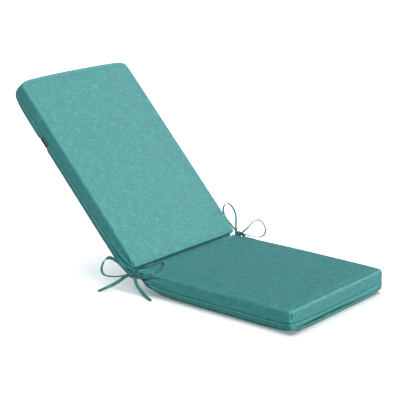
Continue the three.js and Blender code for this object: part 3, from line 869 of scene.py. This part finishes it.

# %% [markdown]
# ## Zips
# Each zip has two woven tapes, and along the edge of each tape a coil of nylon. The tapes, stops,
# slider and pull keep their CAD shapes and get real finishes. The coil's CAD solid is only the space
# that it fills, so the coil itself is drawn as a flattened helix. Its turns are 1.3 mm apart in the
# real one and 2 mm here, which keeps its faces few.

# %% Zip finishes
# Tightly woven polyester tape, matt with fine ribs across it. Its dark tones are partly the tape's own
# colour and partly painted shade for the slit that it sits in.
tape = two_tone("woven_zip_tape", "ShaderNodeTexWave",
                {"bands_direction": "Y", "Scale": 150.0, "Distortion": 0.6}, "Fac", "Object",
                ("#12393a", "#1f5655"), {"Roughness": 0.8, "IOR": 1.5}, (0.5, 0.0004))

# Drawn nylon wire: smooth and half glossy, so each turn has a small bright line.
coil_nylon = two_tone("nylon_coil", "ShaderNodeTexNoise", {"Scale": 300.0}, "Fac", "Object",
                      ("#2c7473", "#3b8b88"), {"Roughness": 0.35, "IOR": 1.53})

# Cast zinc, enamelled in the cloth's colour: glossy, with duller grey spots where it has rubbed off.
zip_metal, tree = new_material("enamelled_zinc")
coords = add(tree, "ShaderNodeTexCoord")
wear = add(tree, "ShaderNodeTexNoise", {"Scale": 260.0, "Detail": 4.0},
           {"Vector": coords.outputs["Object"]})
rub = add(tree, "ShaderNodeMapRange", {"From Min": 0.6, "From Max": 0.75}, {"Value": wear.outputs["Fac"]})
tone = add(tree, "ShaderNodeMix", {"data_type": "RGBA", 6: linear("#357f7c"), 7: linear("#8fa9a6")},
           {0: rub.outputs[0]})
gloss = add(tree, "ShaderNodeMapRange", {"To Min": 0.28, "To Max": 0.5}, {"Value": wear.outputs["Fac"]})
enamel = add(tree, "ShaderNodeBsdfPrincipled", {"Metallic": 0.35},
             {"Base Color": tone.outputs[2], "Roughness": gloss.outputs[0]})
add(tree, "ShaderNodeOutputMaterial", {}, {"Surface": enamel.outputs[0]})


def dress(material, *names):
    """Gives carried-over CAD nodes their finish."""
    for name in names:
        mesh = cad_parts[name].data
        mesh.materials.clear()
        mesh.materials.append(material)


for section in LENGTH:
    dress(tape, section + "_zip_tape_upper", section + "_zip_tape_lower")
    for part in ("stop_left", "stop_right", "slider", "pull"):
        dress(zip_metal, section + "_zip_" + part)
print("zips dressed in", tape.name, "and", zip_metal.name)

# %% Zip coils
COIL_HALF = 204.0  # half the coil's length
COIL_IN = 4.4  # how far inside the end it lies


def coil(section, side, turn_step=2.0, wire=0.36):
    """A wire carried along a flattened helix: at angle a the wire is 0.34 cos a in x and 0.74 sin a in z
    from the coil's middle line, and it advances by one step a turn along y."""
    turns = int(2 * COIL_HALF / turn_step)
    a = np.linspace(0, 2 * np.pi * turns, turns * 8 + 1)
    middle = 11.0 + side * 1.75
    spine = np.stack([LENGTH[section] - COIL_IN + 0.34 * np.cos(a),
                      a / (2 * np.pi) * turn_step - COIL_HALF, middle + 0.74 * np.sin(a)], axis=1)
    travel = unit(np.gradient(spine, axis=0))
    out = unit(np.stack([np.cos(a), np.zeros_like(a), np.sin(a)], axis=1))
    out = unit(out - (out * travel).sum(1, keepdims=True) * travel)
    binormal = np.cross(travel, out)
    b = np.linspace(0, 2 * np.pi, 5)
    rings = spine[:, None] + wire * (out[:, None] * np.cos(b[:-1])[:, None]
                                     + binormal[:, None] * np.sin(b[:-1])[:, None])
    half = "upper" if side > 0 else "lower"
    obj = tube(f"{section}_coil_{half}", place(rings, section), np.arange(len(a)) * 0.5 * MM,
               b * wire * MM, coil_nylon, section)
    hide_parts(f"{section}_zip_coil_{half}")
    return obj


for section in LENGTH:
    for side in (1, -1):
        print(coil(section, side).name, "drawn")

# %% [markdown]
# ## The elastic strap
# A wide elastic strap crosses the back's rear face and is sewn into both side seams. It slips over
# the chair's back. Knitted elastic has ribs along its length, so the strap's surface is a profile
# with ribs, carried along the way that it takes round the pad.

# %% Elastic strap
# Knitted elastic: dark, matt and slightly fuzzy, with ribs along it.
elastic, tree = new_material("knitted_elastic")
coords = add(tree, "ShaderNodeTexCoord")
knit = add(tree, "ShaderNodeTexWave", {"bands_direction": "X", "Scale": 130.0, "Distortion": 1.5},
           {"Vector": coords.outputs["UV"]})
fuzz = add(tree, "ShaderNodeTexNoise", {"Scale": 700.0}, {"Vector": coords.outputs["UV"]})
tone = add(tree, "ShaderNodeMix", {"data_type": "RGBA", 6: linear("#1f3a33"), 7: linear("#3a5b4e")},
           {0: knit.outputs["Fac"]})
bump = add(tree, "ShaderNodeBump", {"Strength": 0.5, "Distance": 0.0005}, {"Height": fuzz.outputs["Fac"]})
rubbery = add(tree, "ShaderNodeBsdfPrincipled", {"Roughness": 0.75, "IOR": 1.5},
              {"Base Color": tone.outputs[2], "Normal": bump.outputs["Normal"]})
add(tree, "ShaderNodeOutputMaterial", {}, {"Surface": rubbery.outputs[0]})


def elastic_band(skin, flat, outward):
    """The strap follows the skin's own ring of points at its middle, from side seam to side seam under
    the pad. Across its width it is flat, with seven ribs that rise and fall by 0.25 mm."""
    level = np.unique(flat[:, 0])
    middle = level[np.abs(level - STRAP["centre"]).argmin()]
    ring = (np.abs(flat[:, 0] - middle) < 0.1) & (flat[:, 2] < SEAM - 1)
    way = flat[ring]
    order = np.argsort(np.where(way[:, 2] < 0.1, way[:, 1], np.sign(way[:, 1]) * (HALF + way[:, 2])))
    line, away = skin[ring][order], outward[ring][order]
    keep = np.linspace(-1, 1, 29)
    rib = 0.25 * np.cos(keep * 7 * np.pi)
    points = line[:, None] + away[:, None] * (1.5 + rib)[:, None]
    points[..., 0] = STRAP["centre"] + keep * STRAP["wide"] / 2
    mark = way_along(line)
    row, column = grid_corners(len(line), len(keep))
    cloth = np.stack([mark[row], keep[column] * STRAP["wide"] / 2], axis=-1) * MM
    return points, row * len(keep) + column, cloth


points, faces, cloth = elastic_band(*skins["back"])
strap = make_piece("back_elastic_band", place(points, "back"), faces.tolist(), cloth.reshape(-1, 2),
                   elastic, "back")
thicken(strap, 1.0)
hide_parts("back_strap")
print("elastic strap", [round(v, 3) for v in strap.dimensions])

# %% [markdown]
# ## Foam and wadding
# The stuffing doesn't show on a closed pad, but it is there: a foam slab in two layers of white
# fibre wadding. Both are the section's own skin with its faces moved in, so they fit the cover.

# %% Foam and wadding
# Cut polyurethane foam: cream and quite matt, with open cells about 2 mm across.
foam = two_tone("polyurethane_foam", "ShaderNodeTexVoronoi", {"Scale": 500.0}, "Distance", "Object",
                ("#d8cb98", "#efe7c6"), {"Roughness": 0.95, "IOR": 1.5}, (0.4, 0.001))

# Carded polyester fibre: white and matt, with soft uneven tufts.
wadding = two_tone("polyester_wadding", "ShaderNodeTexNoise",
                   {"Scale": 160.0, "Detail": 6.0, "Distortion": 1.5}, "Fac", "Object",
                   ("#e4e4e0", "#fafaf7"), {"Roughness": 1.0, "IOR": 1.5}, (0.6, 0.002))


def stuffing(section, inset, coarse, radius):
    """The section's box with its faces moved in, rounded and settled like the cover."""
    flat, rounded, _, faces, cloth = boxed_skin(lattice(section, inset, coarse), radius)
    return flat, settle(rounded, section), faces, cloth


for section, halves in HALVES.items():
    flat, points, faces, cloth = stuffing(section, inset=17.0, coarse=3.0, radius=8)
    core = make_piece(section + "_foam", place(points, section), faces.tolist(), cloth.reshape(-1, 2),
                      foam, section)
    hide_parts(section + "_foam_core")
    flat, points, faces, cloth = stuffing(section, inset=5.5, coarse=2.2, radius=24)
    upper = flat[faces][..., 2].mean(1) > SEAM
    for half, part in zip(halves, (upper, ~upper)):
        used, corners = np.unique(faces[part], return_inverse=True)
        layer = make_piece(f"{section}_fibre_{half}", place(points[used], section),
                           corners.reshape(-1, 4).tolist(), cloth[part].reshape(-1, 2), wadding, section)
        thicken(layer, 8)
        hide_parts(f"{section}_wadding_{half}")
        print(layer.name, len(layer.data.polygons), "faces")
